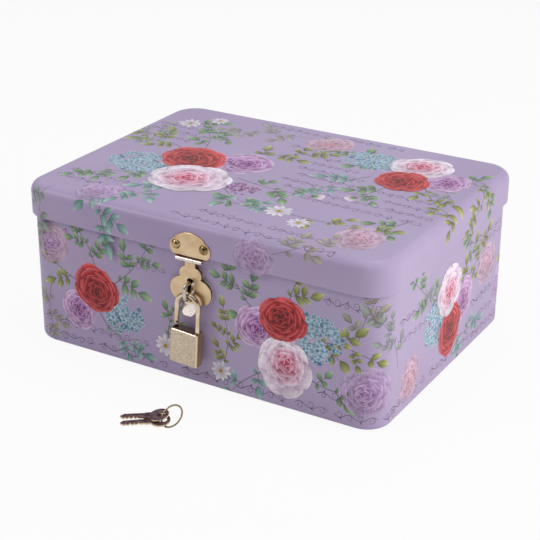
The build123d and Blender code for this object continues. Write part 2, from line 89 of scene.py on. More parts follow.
# Studio: white surround, pale floor, a large lamp on the right and a soft one above
studio = {
    "worldLight": 0.30,      # falls on the tin
    "worldShine": 0.62,      # is mirrored in metal
    "floorHalf": 3.0,
    "floorDrop": 0.0002,
    "floorTone": 0.86,
    "floorSeen": 0.92,       # how much of plain white the camera sees in the floor
    "floorShine": 0.35,      # and how much is mirrored
    "floorRough": 0.9,
    "flagTone": 0.02,
    "aim": (0, 0, 0.04),
    "lamps": [               # place, size, power, tint, and whether metal mirrors the lamp
        ("sideLamp", (1.00, 0.05, 0.52), 0.80, 7.6, (1.0, 0.965, 0.94), False),
        ("topLamp", (-0.10, 0.10, 1.10), 0.90, 3.2, (0.85, 0.92, 1.0), True),
        ("aheadLamp", (-0.60, -0.57, 0.76), 0.34, 2.0, (1.0, 0.955, 0.94), True),
    ],
    "flags": [               # dark cloths that only show as reflections: place and size
        ("flagFront", (0.30, -1.10, 0.50), (1.10, 0.04, 0.80)),
        ("flagLeft", (-0.95, -0.10, 0.30), (0.04, 0.50, 0.60)),
        ("flagTop", (0.30, -0.25, 1.15), (0.50, 0.24, 0.04)),
        ("flagRight", (0.70, -0.25, 0.50), (0.30, 0.50, 0.30)),
    ],
}


def linear(colour):
    # A colour as seen, 0 to 255, as the linear one that a shader works in.
    shares = [c / 255 for c in colour]
    return tuple(c / 12.92 if c <= 0.04045 else ((c + 0.055) / 1.055) ** 2.4 for c in shares)


def newMaterial(name):
    material = bpy.data.materials.new(name)
    material.use_nodes = True
    tree = material.node_tree
    return material, tree, tree.nodes["Principled BSDF"]


def fill(tree, node, values):
    # numbers, colours or other nodes' outputs into a node's sockets
    for label, value in values.items():
        socket = node.inputs[label]
        if isinstance(value, bpy.types.NodeSocket):
            tree.links.new(value, socket)
        elif socket.type == "RGBA":
            socket.default_value = (*value[:3], 1)
        else:
            socket.default_value = value


def addNode(tree, kind, values, **settings):
    node = tree.nodes.new("ShaderNode" + kind)
    for name, setting in settings.items():
        setattr(node, name, setting)
    fill(tree, node, values)
    return node


def addMath(tree, operation, *values):
    return addNode(tree, "Math", dict(enumerate(values)), operation=operation).outputs[0]


def addMix(tree, factor, first, second, kind="MIX"):
    values = {0: factor, 6: first, 7: second}
    return addNode(tree, "Mix", values, data_type="RGBA", blend_type=kind).outputs[2]


def addRange(tree, value, low, high, toLow=0.0, toHigh=1.0):
    return addNode(tree, "MapRange", dict(enumerate((value, low, high, toLow, toHigh)))).outputs[0]


def addNoise(tree, vector, scale, detail=2.0, roughness=0.5):
    return addNode(tree, "TexNoise", {
        "Vector": vector, "Scale": scale, "Detail": detail, "Roughness": roughness}).outputs[0]


def addBump(tree, height, strength, distance=0.0002):
    return addNode(tree, "Bump", {"Height": height, "Strength": strength, "Distance": distance}).outputs[0]


def objectPlace(tree):
    return addNode(tree, "TexCoord", {}).outputs["Object"]


def splitPlace(tree, place):
    return addNode(tree, "SeparateXYZ", {0: place}).outputs


def newGroup(name, inputs, outputs):
    # a group of nodes that takes and gives plain numbers
    group = bpy.data.node_groups.new(name, "ShaderNodeTree")
    for label, default in inputs.items():
        socket = group.interface.new_socket(name=label, in_out="INPUT", socket_type="NodeSocketFloat")
        socket.default_value = default
    for label in outputs:
        group.interface.new_socket(name=label, in_out="OUTPUT", socket_type="NodeSocketFloat")
    return group, group.nodes.new("NodeGroupInput"), group.nodes.new("NodeGroupOutput")


def useGroup(tree, group, values):
    return addNode(tree, "Group", values, node_tree=group).outputs


def buildStudio(values):
    world = bpy.data.worlds.new("studio")
    bpy.context.scene.world = world
    world.use_nodes = True
    tree = world.node_tree
    path = addNode(tree, "LightPath", {}).outputs
    seen = addMath(tree, "MAXIMUM", path["Is Camera Ray"], path["Is Transmission Ray"])
    shine = addMath(tree, "MULTIPLY", path["Is Glossy Ray"], values["worldShine"])
    strength = addMath(tree, "MAXIMUM", addMath(tree, "MAXIMUM", seen, shine), values["worldLight"])
    fill(tree, tree.nodes["Background"], {"Strength": strength, "Color": (1, 1, 1)})

    bpy.ops.mesh.primitive_plane_add(size=2 * values["floorHalf"], location=(0, 0, -values["floorDrop"]))
    floor = bpy.context.object
    floor.name = "floor"
    material, tree, shader = newMaterial("paleFloor")
    tone = (values["floorTone"],) * 3
    fill(tree, shader, {"Base Color": tone, "Roughness": values["floorRough"], "Specular IOR Level": 0.1})
    glow = addNode(tree, "Emission", {"Strength": 1.0})
    path = addNode(tree, "LightPath", {}).outputs
    seen = addMath(tree, "MULTIPLY", path["Is Camera Ray"], values["floorSeen"])
    shine = addMath(tree, "MULTIPLY", path["Is Glossy Ray"], values["floorShine"])
    blend = addNode(tree, "MixShader", {
        0: addMath(tree, "MAXIMUM", seen, shine), 1: shader.outputs[0], 2: glow.outputs[0]})
    fill(tree, tree.nodes["Material Output"], {"Surface": blend.outputs[0]})
    floor.data.materials.append(material)

    for name, spot, size, power, tint, mirrored in values["lamps"]:
        data = bpy.data.lights.new(name, "AREA")
        data.size = size
        data.energy = power
        data.color = tint
        lamp = bpy.data.objects.new(name, data)
        bpy.context.collection.objects.link(lamp)
        lamp.visible_glossy = mirrored
        lamp.location = spot
        lamp.rotation_euler = (Vector(values["aim"]) - Vector(spot)).to_track_quat("-Z", "Y").to_euler()

    material, tree, shader = newMaterial("flagCloth")
    fill(tree, shader, {"Base Color": (values["flagTone"],) * 3, "Roughness": 1.0})
    for name, spot, size in values["flags"]:
        bpy.ops.mesh.primitive_cube_add(size=1, location=spot)
        flag = bpy.context.object
        flag.name = name
        flag.scale = size
        for ray in ("camera", "diffuse", "shadow"):
            setattr(flag, "visible_" + ray, False)
        flag.data.materials.append(material)
    bpy.ops.object.select_all(action="DESELECT")


buildStudio(studio)
bpy.context.scene.view_settings.view_transform = "Standard"
print("studio built")

# Sizes of the tin, in millimetres, from the frame and the sheet's own radii
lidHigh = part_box("lid_shell")[1]
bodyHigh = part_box("body_shell")[1]
lidForm = {
    "halfLength": lidHigh[0] / mm, "halfDepth": lidHigh[1] / mm, "top": lidHigh[2] / mm,
    "corner": 14.9, "edge": 4.9,
}
wallForm = {"halfLength": bodyHigh[0] / mm, "halfDepth": bodyHigh[1] / mm, "corner": 12.9, "foot": 3.0}


def wrapLid(u, v, lift):
    # A point of the flat lid print, in mm, laid over the top, the rolled edge and the skirt.
    edge = lidForm["edge"]
    corner = lidForm["corner"] - edge
    halfU, halfV = lidForm["halfLength"] - edge, lidForm["halfDepth"] - edge
    pastU, pastV = abs(u) - (halfU - corner), abs(v) - (halfV - corner)
    if pastU > 0 and pastV > 0:
        far = math.hypot(pastU, pastV)
        outX, outY, past = pastU / far, pastV / far, far - corner
    elif pastU > pastV:
        outX, outY, past = 1.0, 0.0, abs(u) - halfU
    else:
        outX, outY, past = 0.0, 1.0, abs(v) - halfV
    outX, outY = math.copysign(outX, u), math.copysign(outY, v)
    if past <= 0:
        return Vector((u, v, lidForm["top"] + lift)) * mm
    turn = min(past / edge, math.pi / 2)
    below = max(0.0, past - edge * math.pi / 2)
    reach = edge * math.sin(turn) + lift * math.sin(turn) - past
    height = lidForm["top"] - edge * (1 - math.cos(turn)) - below + lift * math.cos(turn)
    return Vector((u + outX * reach, v + outY * reach, height)) * mm


def wrapWall(s, z, lift):
    # A point of the body's flat print: s runs round the wall to the right from the middle of the front.
    corner = wallForm["corner"]
    flatX, flatY = wallForm["halfLength"] - corner, wallForm["halfDepth"] - corner
    arc = corner * math.pi / 2
    side = math.copysign(1.0, s)
    s = abs(s)
    if s <= flatX:
        x, y, outX, outY = s, -wallForm["halfDepth"], 0.0, -1.0
    elif s <= flatX + arc:
        angle = (s - flatX) / corner
        outX, outY = math.sin(angle), -math.cos(angle)
        x, y = flatX + corner * outX, -flatY + corner * outY
    elif s <= flatX + arc + 2 * flatY:
        x, y, outX, outY = wallForm["halfLength"], s - flatX - arc - flatY, 1.0, 0.0
    elif s <= flatX + 2 * arc + 2 * flatY:
        angle = (s - flatX - arc - 2 * flatY) / corner
        outX, outY = math.cos(angle), math.sin(angle)
        x, y = flatX + corner * outX, flatY + corner * outY
    else:
        x, y, outX, outY = flatX - (s - flatX - 2 * arc - 2 * flatY), wallForm["halfDepth"], 0.0, 1.0
    foot = wallForm["foot"]
    inward = 0.0
    if z < foot:
        angle = (foot - z) / foot
        inward = foot * (1 - math.cos(angle))
        z = foot - foot * math.sin(angle)
    x += outX * (lift - inward)
    y += outY * (lift - inward)
    return Vector((side * x, y, z)) * mm


# Motifs of the print, each modelled once as a flat grid and stamped many times
def gridMotif(across, along, widths, crown, ruffle=0.0, seed=1):
    # a flat motif from y 0 to 1, with its half width given at even steps along it
    bpy.ops.object.select_all(action="DESELECT")
    bpy.ops.mesh.primitive_grid_add(x_subdivisions=across, y_subdivisions=along, size=2, calc_uvs=True)
    motif = bpy.context.object
    bpy.ops.object.mode_set(mode="EDIT")
    bpy.ops.mesh.select_mode(type="VERT")
    bpy.ops.transform.resize(value=(1, 0.5, 1))
    bpy.ops.transform.translate(value=(0, 0.5, 0))
    bpy.ops.mesh.select_all(action="DESELECT")
    bpy.ops.object.mode_set(mode="OBJECT")
    steps = len(widths) - 1
    for row in range(along + 1):
        level = row / along
        spot = level * steps
        first = min(int(spot), steps - 1)
        half = widths[first] + (widths[first + 1] - widths[first]) * (spot - first)
        for part in (motif.data.edges, motif.data.polygons):
            part.foreach_set("select", [False] * len(part))
        for vertex in motif.data.vertices:
            vertex.select = abs(vertex.co.y - level) < 0.2 / along
        bpy.ops.object.mode_set(mode="EDIT")
        bpy.ops.transform.resize(value=(max(half, 0.004), 1, 1))
        bpy.ops.object.mode_set(mode="OBJECT")
    wave = random.Random(seed)
    phases = [wave.uniform(0, 6.28) for _ in range(2)]
    shape = []
    for vertex in motif.data.vertices:
        x, y = vertex.co.x, vertex.co.y
        rise = crown * (1 - min(1.0, abs(x) / max(widths)) ** 2) * y ** 3
        wobble = ruffle * y ** 2 * (math.sin(4 * x + phases[0]) + 0.6 * math.sin(9 * x + phases[1]))
        shape.append((x, y * (1 - crown) + rise + wobble))
    uvLayer = motif.data.uv_layers.active.data
    sides = [(0.5, 0.5)] * len(shape)
    for polygon in motif.data.polygons:
        for corner, loop in zip(polygon.vertices, polygon.loop_indices):
            sides[corner] = tuple(uvLayer[loop].uv)
    faces = [tuple(polygon.vertices) for polygon in motif.data.polygons]
    uvs = [tuple(uvLayer[i].uv) for polygon in motif.data.polygons for i in polygon.loop_indices]
    mesh = motif.data
    bpy.data.objects.remove(motif)
    bpy.data.meshes.remove(mesh)
    return {"points": shape, "faces": faces, "uvs": uvs, "sides": sides}


leafEdge = (
    0.02, 0.10, 0.09, 0.20, 0.17, 0.27, 0.22, 0.31, 0.25, 0.30, 0.23, 0.25, 0.17, 0.17, 0.09, 0.08, 0.012)
motifs = {
    "broad": gridMotif(8, 8, (0.42, 0.66, 0.84, 0.96, 1.0, 0.95, 0.74), 0.20, 0.020, 3),
    "cup": gridMotif(8, 7, (0.55, 0.80, 0.95, 1.0, 0.93, 0.70), 0.34, 0.030, 5),
    "slim": gridMotif(4, 6, (0.06, 0.13, 0.19, 0.21, 0.17, 0.05), 0.10),
    "floret": gridMotif(2, 3, (0.10, 0.42, 0.50, 0.28), 0.10),
    "leaf": gridMotif(6, 16, leafEdge, 0.05),
    "plainLeaf": gridMotif(4, 8, (0.02, 0.12, 0.19, 0.21, 0.18, 0.12, 0.012), 0.05),
}
print("motifs modelled:", ", ".join(motifs))

# Inks of the print, as colours seen on the tin: root, body, light and rim
inks = {
    "ground": (182, 165, 202), "line": (88, 70, 98), "stem": (112, 108, 92),
    "red": ((54, 4, 8), (142, 10, 20), (182, 26, 34), (234, 112, 114)),
    "redHeart": ((40, 2, 6), (100, 8, 16), (148, 16, 26), (214, 84, 84)),
    "pink": ((184, 120, 168), (224, 190, 220), (238, 214, 236), (254, 246, 254)),
    "pinkHeart": ((158, 22, 56), (212, 74, 108), (232, 142, 172), (252, 226, 236)),
    "violet": ((96, 40, 100), (158, 100, 162), (196, 148, 202), (232, 208, 236)),
    "violetHeart": ((70, 18, 74), (128, 60, 130), (176, 112, 178), (222, 184, 224)),
    "blue": ((92, 132, 164), (156, 192, 216), (188, 216, 234), (222, 238, 246)),
    "blueHeart": ((52, 84, 120), (104, 144, 176), (140, 178, 204), (182, 210, 228)),
    "white": ((196, 176, 206), (226, 218, 234), (240, 234, 244), (252, 250, 252)),
    "sage": ((74, 104, 80), (124, 154, 118), (160, 184, 148), (204, 220, 192)),
    "olive": ((94, 100, 56), (144, 150, 88), (182, 186, 124), (218, 220, 168)),
    "teal": ((78, 120, 116), (128, 168, 162), (164, 196, 188), (206, 226, 220)),
    "gold": ((140, 100, 36), (200, 168, 74), (224, 200, 110), (240, 226, 160)),
    "blush": ((178, 108, 134), (204, 144, 162), (218, 170, 186), (232, 200, 212)),
}
levelStep = 0.0045     # mm between one layer of ink and the next
inkBase = 0.016
levels = {"spray": 1, "cluster": 5, "daisy": 6, "bloom": 12}      # the layer at which each motif starts


def blendTones(first, second, share):
    return tuple(a + (b - a) * share for a, b in zip(first, second))


def fade(ink, amount):
    # an ink worn back towards the ground colour
    return tuple(blendTones(tone, inks["ground"], amount) for tone in ink)


def inkOf(key):
    # an ink by its name, or by its name and how far it has faded
    return inks[key] if isinstance(key, str) else fade(inks[key[0]], key[1])


def newSheet(top=1, climb=0):
    # top is the level of the next bloom, and climb how far each bloom raises it
    return {"points": [], "faces": [], "uvs": [], "colours": [], "lifts": [], "top": top, "climb": climb}


def towards(turn):
    # the cosine and sine of an angle in degrees
    return math.cos(math.radians(turn)), math.sin(math.radians(turn))


def turned(x, y, spot, turn):
    # a point turned by turn degrees about the origin and then moved to spot
    cosine, sine = towards(turn)
    return spot[0] + x * cosine - y * sine, spot[1] + x * sine + y * cosine


petalShade = {"stops": (0.0, 0.50, 0.84, 1.0), "edge": 0.26, "ribSlim": 12}


def stamp(sheet, motif, spot, size, turn, level, ink, shade, tilt, bow=0.0, rib=0.0, slant=0.0):
    # one motif on a print sheet: size is half width and length in mm, turn in degrees from straight up,
    # tilt in levels of ink, bow as a share of the length, and rib and slant as shares of the shade
    form = motifs[motif]
    start = len(sheet["points"])
    tones = [linear(tone) for tone in ink]
    stops = petalShade["stops"]
    for (x, y), (across, along) in zip(form["points"], form["sides"]):
        localX, localY = x * size[0] + bow * y * y * size[1], y * size[1]
        sheet["points"].append(turned(localX, localY, spot, turn))
        sheet["lifts"].append(inkBase + levelStep * (level + tilt * (2 * across - 1)))
        step = 0 if along < stops[1] else 1 if along < stops[2] else 2
        share = (along - stops[step]) / (stops[step + 1] - stops[step])
        dim = shade * (1 - petalShade["edge"] * (2 * across - 1) ** 4 + slant * (across - 0.5))
        if rib:
            dim *= 1 + rib * max(0.0, 1 - abs(across - 0.5) * petalShade["ribSlim"]) * (1 - along)
        colour = blendTones(tones[step], tones[step + 1], share)
        sheet["colours"].append(tuple(min(1.0, c * dim) for c in colour))
    sheet["faces"] += [tuple(start + i for i in face) for face in form["faces"]]
    sheet["uvs"] += form["uvs"]


def ribbon(sheet, points, widths, level, colour):
    # a painted line through points, from one width to the other, in mm
    start = len(sheet["points"])
    tone = linear(colour)
    count = len(points)
    for number, (x, y) in enumerate(points):
        before, after = points[max(0, number - 1)], points[min(count - 1, number + 1)]
        dx, dy = after[0] - before[0], after[1] - before[1]
        far = math.hypot(dx, dy) or 1.0
        half = 0.5 * (widths[0] + (widths[1] - widths[0]) * number / (count - 1))
        for side in (1, -1):
            sheet["points"].append((x - side * half * dy / far, y + side * half * dx / far))
            sheet["lifts"].append(inkBase + levelStep * level)
            sheet["colours"].append(tone)
    for number in range(count - 1):
        a = start + 2 * number
        sheet["faces"].append((a + 1, a + 3, a + 2, a))
        sheet["uvs"] += [(0.5, 0.5)] * 4


# A full bloom: each ring has a number of petals, its outer reach, and how much of that the petal covers
bloomRings = (
    (7, 1.00, 0.62), (6, 0.88, 0.60), (6, 0.76, 0.58), (5, 0.64, 0.58), (5, 0.52, 0.58), (4, 0.40, 0.62),
    (4, 0.29, 0.70), (3, 0.19, 0.80), (3, 0.11, 0.90),
)
bloomLook = {
    "lean": 0.16,                            # how far the heart sits off the middle
    "heartRate": 1.6, "heartDelay": 0.35,    # how soon the rings take on the heart's ink
    "mixedRings": 4,                         # outer rings whose petals overlap in any order
    "broadRings": 5,
    "ringLevels": 2, "petalLevels": 1.6,
}


def bloom(sheet, spot, radius, ink, seed, squash, turn):
    outer, heart = (inkOf(key) for key in ((ink, ink + "Heart") if isinstance(ink, str) else ink))
    level = sheet["top"]
    sheet["top"] += sheet["climb"]      # a neighbour overlaps the outer rings alone
    chance = random.Random(seed)
    lean = [bloomLook["lean"] * share for share in towards(chance.uniform(0, 360))]
    start = len(sheet["points"])
    first = chance.uniform(0, 360)
    for ring, (count, reachShare, cover) in enumerate(bloomRings):
        share = ring / (len(bloomRings) - 1)
        reach = radius * reachShare
        toHeart = min(1.0, max(0.0, share * bloomLook["heartRate"] - bloomLook["heartDelay"]))
        ink = [blendTones(o, h, toHeart) for o, h in zip(outer, heart)]
        first += 180 / count + chance.uniform(-9, 9)
        offset = radius * share
        centre = (spot[0] + lean[0] * offset, spot[1] + lean[1] * offset)
        order = list(range(count))
        if ring < bloomLook["mixedRings"]:
            chance.shuffle(order)
        ringLevel = level + bloomLook["ringLevels"] * ring
        form = "broad" if ring < bloomLook["broadRings"] else "cup"
        for place, petal in enumerate(order):
            angle = first + 360 * petal / count + chance.uniform(-6, 6)
            cosine, sine = towards(angle)
            petalReach = reach * chance.uniform(0.93, 1.06)
            root = petalReach * (1 - cover)
            half = math.pi * petalReach / count * chance.uniform(0.92, 1.14)
            shade = chance.uniform(0.84, 1.10) * (1 + 0.10 * cosine)
            petalLevel = ringLevel + bloomLook["petalLevels"] * place / count
            stamp(sheet, form, (centre[0] - sine * root, centre[1] + cosine * root),
                  (half, petalReach - root), angle, petalLevel, ink, shade, tilt=0.10,
                  bow=chance.uniform(-0.06, 0.06), slant=chance.uniform(-0.22, 0.22))
    cosine, sine = towards(turn)
    for number in range(start, len(sheet["points"])):
        dx, dy = sheet["points"][number][0] - spot[0], sheet["points"][number][1] - spot[1]
        along, across = dx * cosine + dy * sine, (-dx * sine + dy * cosine) * squash
        sheet["points"][number] = turned(along, across, spot, turn)


def daisy(sheet, spot, radius, seed, count=10):
    chance = random.Random(seed)
    level = levels["daisy"]
    first = chance.uniform(0, 360)
    for petal in range(count):
        angle = first + 360 * petal / count + chance.uniform(-6, 6)
        stamp(sheet, "slim", spot, (radius * 1.25, radius * chance.uniform(0.88, 1.12)), angle, level,
              inks["white"], shade=chance.uniform(0.86, 1.05), tilt=0.4)
    for petal in range(5):
        stamp(sheet, "floret", spot, (radius * 0.26, radius * 0.24), 72 * petal, level + 1,
              inks["gold"], shade=0.9, tilt=0.45)


def cluster(sheet, spot, size, ink, seed, count):
    # a head of small four-petalled florets inside an ellipse, the deep ones below
    chance = random.Random(seed)
    for number in range(count):
        layer = number * 3 // count
        level = levels["cluster"] + 2 * layer
        angle, far = chance.uniform(0, 2 * math.pi), math.sqrt(chance.random())
        x, y = spot[0] + size[0] * far * math.cos(angle), spot[1] + size[1] * far * math.sin(angle)
        radius = chance.uniform(1.3, 2.3) * (1.08 - 0.3 * far)
        shade = chance.uniform(0.84, 1.10)
        first = chance.uniform(0, 90)
        for petal in range(4):
            stamp(sheet, "floret", (x, y), (radius * 1.2, radius), first + 90 * petal, level,
                  inks[ink if layer else ink + "Heart"], shade, tilt=0.3)
        for petal in range(3):
            stamp(sheet, "floret", (x, y), (radius * 0.20, radius * 0.20), 120 * petal, level + 1,
                  inks["blueHeart" if number % 3 else "gold"], shade=0.7, tilt=0.2)


def curl(spot, turn, length, bend, steps=24):
    # points of a stem that starts at spot, heads along turn and bends by bend degrees in all
    x, y = spot
    points = [(x, y)]
    for number in range(steps):
        cosine, sine = towards(turn + bend * number / steps)
        x += cosine * length / steps
        y += sine * length / steps
        points.append((x, y))
    return points


stemWidths = {"spray": (0.55, 0.24), "leaf": (0.34, 0.22)}      # mm, at the foot and at the tip


def leafHand(sheet, spot, heading, size, ink, level, chance, stem):
    # a compound leaf: leaflets in pairs on a short stalk and one at its end
    pairs = chance.choice((1, 2, 2))
    stalk = curl(spot, heading, size * (0.55 + 0.5 * pairs), chance.uniform(-26, 26), 8)
    ribbon(sheet, stalk, stemWidths["leaf"], level, stem)
    for pair in range(pairs):
        at = int((pair + 0.6) / pairs * 7)
        for side in (-1, 1):
            length = size * chance.uniform(0.72, 0.95)
            stamp(sheet, "leaf", stalk[at], (length * 1.05, length),
                  heading - 90 + side * chance.uniform(48, 74), level + 1, ink,
                  shade=chance.uniform(0.78, 1.12), tilt=0.2, bow=chance.uniform(-0.14, 0.14), rib=0.45,
                  slant=chance.choice((-0.3, 0.3)))
    stamp(sheet, "leaf", stalk[-1], (size * 1.15, size * chance.uniform(0.95, 1.25)), heading - 90, level + 1,
          ink, shade=chance.uniform(0.9, 1.15), tilt=0.2, bow=chance.uniform(-0.12, 0.12), rib=0.45,
          slant=chance.choice((-0.3, 0.3)))


def spray(sheet, spot, turn, length, bend, leafLength, ink, seed, hands=3, bud=None):
    # a stem with compound leaves left and right in turn, and a leaf or a bud at its tip
    chance = random.Random(seed)
    level = levels["spray"]
    stem = blendTones(inks["stem"], inks["ground"], 0.0 if isinstance(ink, str) else 0.5)
    ink = inkOf(ink)
    points = curl(spot, turn, length, bend)
    ribbon(sheet, points, stemWidths["spray"], level, stem)
    side = chance.choice((-1, 1))
    for number in range(hands):
        at = int((number + 0.9) / (hands + 0.5) * (len(points) - 1))
        heading = turn + bend * at / (len(points) - 1)
        leafHand(sheet, points[at], heading + side * chance.uniform(38, 62),
                 leafLength * chance.uniform(0.74, 1.05) * (1 - 0.25 * number / hands), ink, level + 1,
                 chance, stem)
        side = -side
        if chance.random() < 0.6:
            stamp(sheet, "plainLeaf", points[at], (leafLength * 0.6, leafLength * 0.55),
                  heading - 90 + side * chance.uniform(30, 60), level + 1, ink,
                  shade=0.9, tilt=0.2, bow=0.1, rib=0.4)
    heading = turn + bend - 90
    if bud:
        for angle in (-18, 18, 0):
            stamp(sheet, "cup", points[-1], (leafLength * 0.30, leafLength * 0.80), heading + angle,
                  level + 3 + (angle == 0), inks[bud], shade=0.95, tilt=0.3)
        for angle in (-30, 0, 30):
            stamp(sheet, "plainLeaf", points[-1], (leafLength * 0.7, leafLength * 0.5), heading + angle,
                  level + 5, ink, shade=0.9, tilt=0.2, rib=0.4)
    else:
        leafHand(sheet, points[-1], heading + 90, leafLength * 0.85, ink, level + 1, chance, stem)


# Scrollwork: a waving tendril that sends a spiral into each of its bends
scrollLook = {
    "wave": 11.0, "swing": 1.25, "spiral": 1.9, "thick": 0.40,      # mm
    "steps": 12, "curlStep": 20, "curlSteps": (17, 20, 23), "curlEnd": 27,
}


def scroll(sheet, start, length, seed, turn, tone, size=1.0):
    chance = random.Random(seed)
    thick = scrollLook["thick"] * size
    steps, curlStep = scrollLook["steps"], scrollLook["curlStep"]

    def put(points, widths):
        ribbon(sheet, [turned(x, y, start, turn) for x, y in points], widths, 0, tone)

    x, side, main = 0.0, 1, []
    while x < length:
        half = scrollLook["wave"] * size * chance.uniform(0.42, 0.58)
        swing = scrollLook["swing"] * size * chance.uniform(0.7, 1.2)
        main += [(x + half * step / steps, side * swing * math.sin(math.pi * step / steps))
                 for step in range(steps)]
        crest = (x + half / 2, side * swing)
        (spotX, spotY), heading = crest, 0.0
        radius = scrollLook["spiral"] * size * chance.uniform(0.75, 1.1)
        spiral = [crest]
        for step in range(chance.choice(scrollLook["curlSteps"])):
            heading -= side * curlStep
            stretch = radius * (1 - step / scrollLook["curlEnd"]) * math.radians(curlStep)
            cosine, sine = towards(heading)
            spotX += cosine * stretch
            spotY += sine * stretch
            spiral.append((spotX, spotY))
        put(spiral, (thick * 0.8, thick * 0.40))
        if chance.random() < 0.4:
            stamp(sheet, "plainLeaf", turned(*crest, start, turn), (1.5 * size, 1.9 * size),
                  turn - 90 + side * chance.uniform(30, 60), 0, (tone,) * 4, shade=1.0, tilt=0.0)
        side = -side
        x += half
        if chance.random() < 0.10 and len(main) > 2 * steps:
            put(main + [(x, 0.0)], (thick, thick * 0.6))
            main = []
            x += 3.0 * size
    if len(main) > 2:
        put(main, (thick, thick * 0.5))


# Print ink: colours stamped on the sheet's corners, with brush streaks along each petal
varnish = {"Specular IOR Level": 0.27, "Coat Weight": 0.22, "Coat Roughness": 0.22}
inkLook = {
    "stretch": (7.0, 1.1, 1.0),          # the streaks run along a petal
    "shift": 60,                         # and differ from place to place
    "streak": (1.6, 3.0, 0.6),           # noise scale, detail and roughness
    "streakShade": (0.3, 0.7, 0.80, 1.20),
    "fine": (1500.0,),
    "fineShade": (0.3, 0.7, 0.95, 1.05),
    "roughness": 0.42,
}


def makeInkMaterial():
    material, tree, shader = newMaterial("printInk")
    ink = addNode(tree, "VertexColor", {}, layer_name="ink").outputs["Color"]
    uv = addNode(tree, "UVMap", {}, uv_map="petal").outputs[0]
    stretched = addNode(tree, "Mapping", {"Vector": uv, "Scale": inkLook["stretch"]}).outputs[0]
    place = objectPlace(tree)
    shifted = addNode(tree, "VectorMath", {0: place, 1: (inkLook["shift"],) * 3, 2: stretched},
                      operation="MULTIPLY_ADD").outputs[0]
    streak = addRange(tree, addNoise(tree, shifted, *inkLook["streak"]), *inkLook["streakShade"])
    fine = addRange(tree, addNoise(tree, place, *inkLook["fine"]), *inkLook["fineShade"])
    shade = addMath(tree, "MULTIPLY", streak, fine)
    gray = addNode(tree, "CombineColor", {0: shade, 1: shade, 2: shade}).outputs[0]
    fill(tree, shader, {
        "Base Color": addMix(tree, 1.0, ink, gray, "MULTIPLY"), "Roughness": inkLook["roughness"], **varnish})
    return material


inkMaterial = makeInkMaterial()


def printSheet(sheet, wrap, name, body):
    # Lays a print sheet on the tin as one piece that moves with the body.
    mesh = bpy.data.meshes.new(name)
    points = [wrap(x, y, lift) for (x, y), lift in zip(sheet["points"], sheet["lifts"])]
    mesh.from_pydata(points, [], sheet["faces"])
    uvLayer = mesh.uv_layers.new(name="petal")
    for loop, uv in zip(uvLayer.data, sheet["uvs"]):
        loop.uv = uv
    ink = mesh.color_attributes.new("ink", "FLOAT_COLOR", "POINT")
    for spot, colour in zip(ink.data, sheet["colours"]):
        spot.color = (*colour, 1)
    mesh.polygons.foreach_set("use_smooth", [True] * len(mesh.polygons))
    mesh.materials.append(inkMaterial)
    mesh.update()
    piece = bpy.data.objects.new(name, mesh)
    bpy.context.collection.objects.link(piece)
    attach(piece, body)
    print("printed", name, len(mesh.polygons), "faces")


# The lid's print: one bouquet left of the middle, one at the far right, sprigs and scrollwork between them.
# After each motif come its places on the flat sheet and what it takes there, in mm and degrees.
lidPlan = {
    "lid_bouquet_front": (
        (spray, (-40, -22, 196, 44, 26, 9, "sage", 21, 4), (-34, -34, 262, 24, -24, 9, "teal", 22, 2),
         (-60, 8, 146, 34, 34, 9, "olive", 23), (-12, -14, -16, 44, 26, 8.5, "sage", 24, 3, "pink"),
         (-24, 12, 58, 34, -34, 8.5, "olive", 25), (-10, -30, -44, 26, 34, 8, "teal", 26, 2),
         (-50, 12, 100, 26, 30, 8, "sage", 27, 2)),
        (cluster, (-68, -20, (17, 14), "blue", 31, 150), (-2, -26, (9, 7), "violet", 36, 44)),
        (bloom, (-20, 5, 16, "violet", 32, 0.9, 20), (-47, -1, 19, "red", 33, 0.88, 160),
         (-32, -27, 22, "pink", 34, 0.84, 10)),
    ),
    "lid_bouquet_back": (
        (spray, (52, 38, 172, 42, -24, 8.5, "sage", 41), (72, 26, -62, 38, 26, 8.5, "olive", 42),
         (44, 22, 232, 30, 24, 8.5, "teal", 43, 2), (82, 40, 20, 20, -30, 7.5, "sage", 44, 2),
         (58, 18, -96, 26, -20, 8, "sage", 49, 2, "pink")),
        (cluster, (36, 44, (17, 11), "blue", 45, 130)),
        (bloom, (81, 33, 13, "violet", 46, 0.85, 60), (61, 47, 17, "pink", 47, 0.86, 200),
         (61, 24, 15, "red", 48, 0.9, 330)),
    ),
    "lid_sprigs": (
        (spray, (30, -42, -8, 46, 26, 7.5, "olive", 51), (24, -44, 190, 24, -30, 7.5, "sage", 58, 2),
         (-84, 52, -14, 34, -30, 7.5, "sage", 52), (88, -20, 246, 34, 20, 7.5, "sage", 53, 3, "violet"),
         (-52, -60, 262, 24, 20, 8.5, "teal", 59, 2), (92, 40, -30, 24, -30, 8, "olive", 60, 2)),
        (daisy, (28, -42, 7.0, 54), (43, -50, 5.5, 55), (-80, 46, 6.5, 56), (-68, 58, 5.0, 57)),
    ),
    "lid_faded_blooms": (
        (bloom, (4, 54, 14, (("blush", 0.35), ("blush", 0.1)), 61, 0.8, 40),
         (76, -52, 14, (("blush", 0.45), ("blush", 0.2)), 62, 0.85, 100),
         (-60, -66, 13, (("violet", 0.66), ("violet", 0.5)), 63, 0.85, 10)),
        (spray, (-10, 58, 186, 38, 14, 8, ("olive", 0.55), 64), (97, 6, 120, 34, 24, 8, ("sage", 0.55), 65),
         (-96, 2, 60, 30, 30, 8, ("sage", 0.5), 66)),
        (bloom, (34, -84, 11, (("violet", 0.6), ("violet", 0.42)), 67, 0.85, 10)),
        (spray, (44, -80, 20, 30, 20, 8, ("olive", 0.5), 68),
         (-84, -70, 236, 22, 20, 8, ("sage", 0.4), 69, 2)),
    ),
}
